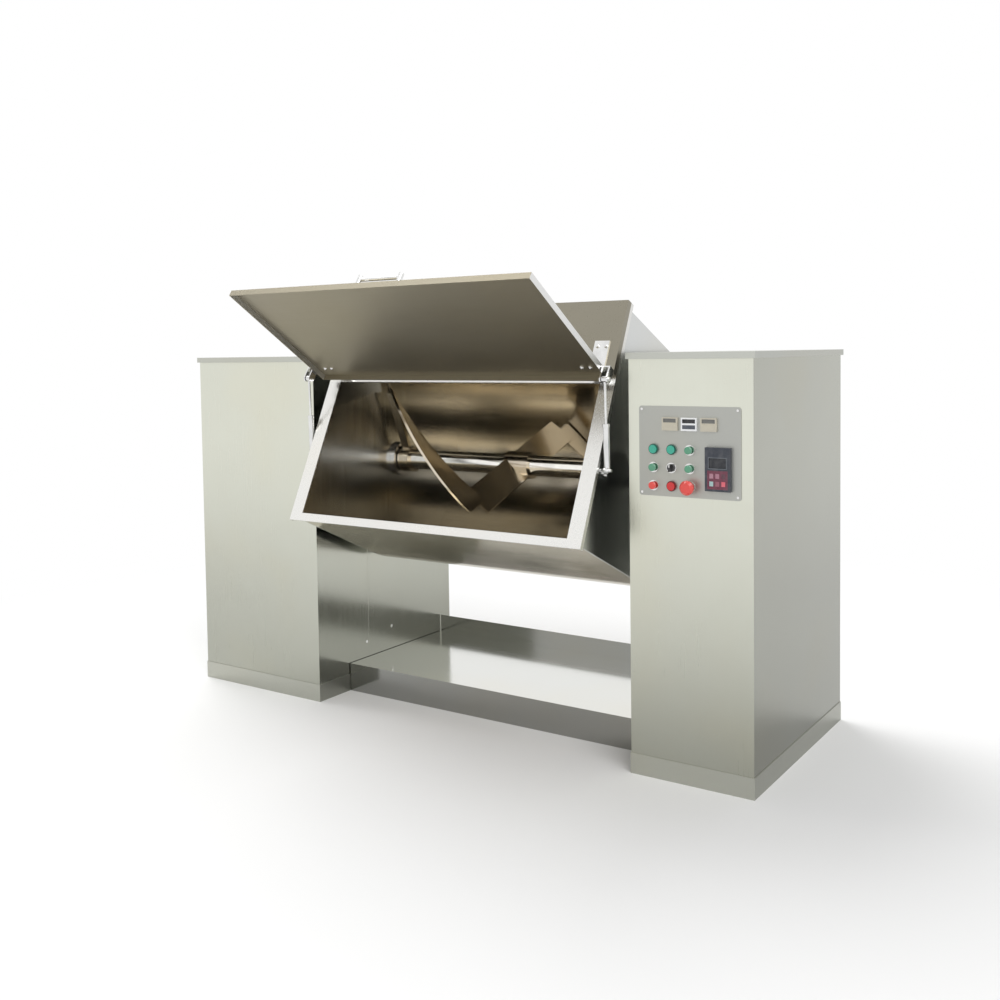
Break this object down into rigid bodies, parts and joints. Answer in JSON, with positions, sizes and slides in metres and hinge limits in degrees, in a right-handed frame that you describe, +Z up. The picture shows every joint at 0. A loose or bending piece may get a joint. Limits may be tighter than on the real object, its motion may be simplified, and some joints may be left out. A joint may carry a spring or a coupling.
{
  "type": "tilting ribbon blender",
  "caption": "Trough mixer between two drive cabinets: a ribbon agitator turns in a tilting trough with a hinged lid on gas stays.",
  "frame": {"origin": "on the floor, in the middle of the base and straight under the agitator shaft", "axes": "+X along the agitator shaft towards the control cabinet, +Y to the rear, +Z up"},
  "size_m": [2.16, 1.179, 1.4343],
  "materials": {
    "skid_steel": "brushed stainless, dull",
    "cabinet_steel": "fine brushed stainless",
    "deck_steel": "polished stainless",
    "trough_steel": "polished stainless",
    "rim_steel": "bright brushed stainless",
    "lid_steel": "brushed stainless",
    "hinge_steel": "satin stainless",
    "bright_steel": "polished",
    "agitator_steel": "polished stainless",
    "shaft_steel": "turned stainless",
    "fastener_steel": "satin",
    "machine_paint": "semi-gloss machine paint",
    "stand_paint": "satin machine paint",
    "cast_grey": "painted casting",
    "bronze": "machined bronze",
    "belt_rubber": "matt",
    "panel_metal": "satin",
    "meter_plastic": "satin",
    "keypad_plastic": "satin",
    "contact_plastic": "matt",
    "gear_plastic": "matt",
    "green_plastic": "gloss",
    "red_plastic": "gloss",
    "black_plastic": "satin",
    "green_lens": "gloss",
    "red_lens": "gloss"
  },
  "bodies": {
    "frame": {"base_frame": "skid_steel", "base_deck": "deck_steel", "left_cabinet_shell": "cabinet_steel", "right_cabinet_shell": "cabinet_steel", "left_cabinet_top": "cabinet_steel", "right_cabinet_top": "cabinet_steel", "left_rear_door": "cabinet_steel", "right_rear_door": "cabinet_steel", "cabinet_screws": "fastener_steel", "left_bearing_stand": "stand_paint", "right_bearing_stand": "stand_paint", "trunnion_bearings": "cast_grey", "main_motor": "machine_paint", "motor_cowl": "machine_paint", "main_reducer": "machine_paint", "reducer_stand": "stand_paint", "v_belts": "belt_rubber", "tilt_reducer": "machine_paint", "tilt_motor": "machine_paint", "control_panel": "panel_metal", "panel_screws": "fastener_steel", "panel_bezels": "bright_steel", "green_lamps": "green_lens", "red_lamp": "red_lens", "contact_blocks": "contact_plastic", "panel_meters": "meter_plastic", "drive_keypad": "keypad_plastic", "control_gear": "gear_plastic"},
    "trough": {"trough_shell": "trough_steel", "left_end_plate": "trough_steel", "right_end_plate": "trough_steel", "left_trunnion": "shaft_steel", "right_trunnion": "shaft_steel", "rim_frame": "rim_steel", "rear_cover": "lid_steel", "hinge_straps": "hinge_steel", "cover_bolts": "fastener_steel", "shaft_seals": "shaft_steel", "shaft_bushes": "bronze", "stay_studs": "hinge_steel"},
    "lid": {"lid_panel": "lid_steel", "lid_hinge_leaves": "hinge_steel", "lid_handle": "bright_steel", "lid_cranks": "hinge_steel"},
    "stay_lower": {"stay_tubes": "bright_steel"},
    "stay_upper": {"stay_rods": "bright_steel"},
    "agitator": {"agitator_shaft": "shaft_steel", "left_ribbon": "agitator_steel", "right_ribbon": "agitator_steel", "centre_arm": "agitator_steel", "end_arms": "agitator_steel"},
    "reducer_drive": {"reducer_pulley": "cast_grey"},
    "motor_drive": {"motor_pulley": "cast_grey"},
    "green_button_1_body": {"green_button_1": "green_plastic"},
    "green_button_2_body": {"green_button_2": "green_plastic"},
    "selector_knob_body": {"selector_knob": "black_plastic"},
    "green_button_3_body": {"green_button_3": "green_plastic"},
    "red_button_body": {"red_button": "red_plastic"},
    "stop_mushroom_body": {"stop_mushroom": "red_plastic"}
  },
  "joints": [
    {"name": "trough_tilt", "type": "hinge", "parent": "frame", "child": "trough", "pos_m": [0, 0, 0.82], "axis": [1, 0, 0], "range_deg": [-65, 40]},
    {"name": "agitator_spin", "type": "hinge", "parent": "frame", "child": "agitator", "pos_m": [0, 0, 0.82], "axis": [1, 0, 0], "continuous": true},
    {"name": "lid_hinge", "type": "hinge", "parent": "trough", "child": "lid", "pos_m": [0, -0.36468, 1.13349], "axis": [1, 0, 0], "range_deg": [0, 98.5]},
    {"name": "stay_swing", "type": "hinge", "parent": "trough", "child": "stay_lower", "pos_m": [0, -0.42683, 0.87008], "axis": [1, 0, 0], "range_deg": [-26, 1]},
    {"name": "stay_slide", "type": "slide", "parent": "stay_lower", "child": "stay_upper", "axis": [0, -0.0346, 0.9994], "range_m": [-0.05, 0.001]},
    {"name": "reducer_pulley_spin", "type": "hinge", "parent": "frame", "child": "reducer_drive", "pos_m": [-0.762, 0, 0.685], "axis": [0, 1, 0], "continuous": true},
    {"name": "motor_pulley_spin", "type": "hinge", "parent": "frame", "child": "motor_drive", "pos_m": [-0.762, 0, 0.2], "axis": [0, 1, 0], "continuous": true},
    {"name": "green_button_1_press", "type": "slide", "parent": "frame", "child": "green_button_1_body", "axis": [0, 1, 0], "range_m": [0, 0.004], "stiffness_N_per_m": 500, "springref_m": -0.002},
    {"name": "green_button_2_press", "type": "slide", "parent": "frame", "child": "green_button_2_body", "axis": [0, 1, 0], "range_m": [0, 0.004], "stiffness_N_per_m": 500, "springref_m": -0.002},
    {"name": "selector_turn", "type": "hinge", "parent": "frame", "child": "selector_knob_body", "pos_m": [0.839, -0.38, 0.882], "axis": [0, 1, 0], "range_deg": [-45, 45]},
    {"name": "green_button_3_press", "type": "slide", "parent": "frame", "child": "green_button_3_body", "axis": [0, 1, 0], "range_m": [0, 0.004], "stiffness_N_per_m": 500, "springref_m": -0.002},
    {"name": "red_button_press", "type": "slide", "parent": "frame", "child": "red_button_body", "axis": [0, 1, 0], "range_m": [0, 0.004], "stiffness_N_per_m": 500, "springref_m": -0.002},
    {"name": "stop_mushroom_press", "type": "slide", "parent": "frame", "child": "stop_mushroom_body", "axis": [0, 1, 0], "range_m": [0, 0.004], "stiffness_N_per_m": 800, "springref_m": -0.002}
  ],
  "couplings": [
    {"joint": "stay_swing", "follows": "lid_hinge", "ratio": -0.24534},
    {"joint": "stay_slide", "follows": "lid_hinge", "m_per_rad": -0.027531},
    {"joint": "reducer_pulley_spin", "follows": "agitator_spin", "ratio": 30},
    {"joint": "motor_pulley_spin", "follows": "agitator_spin", "ratio": 60}
  ]
}
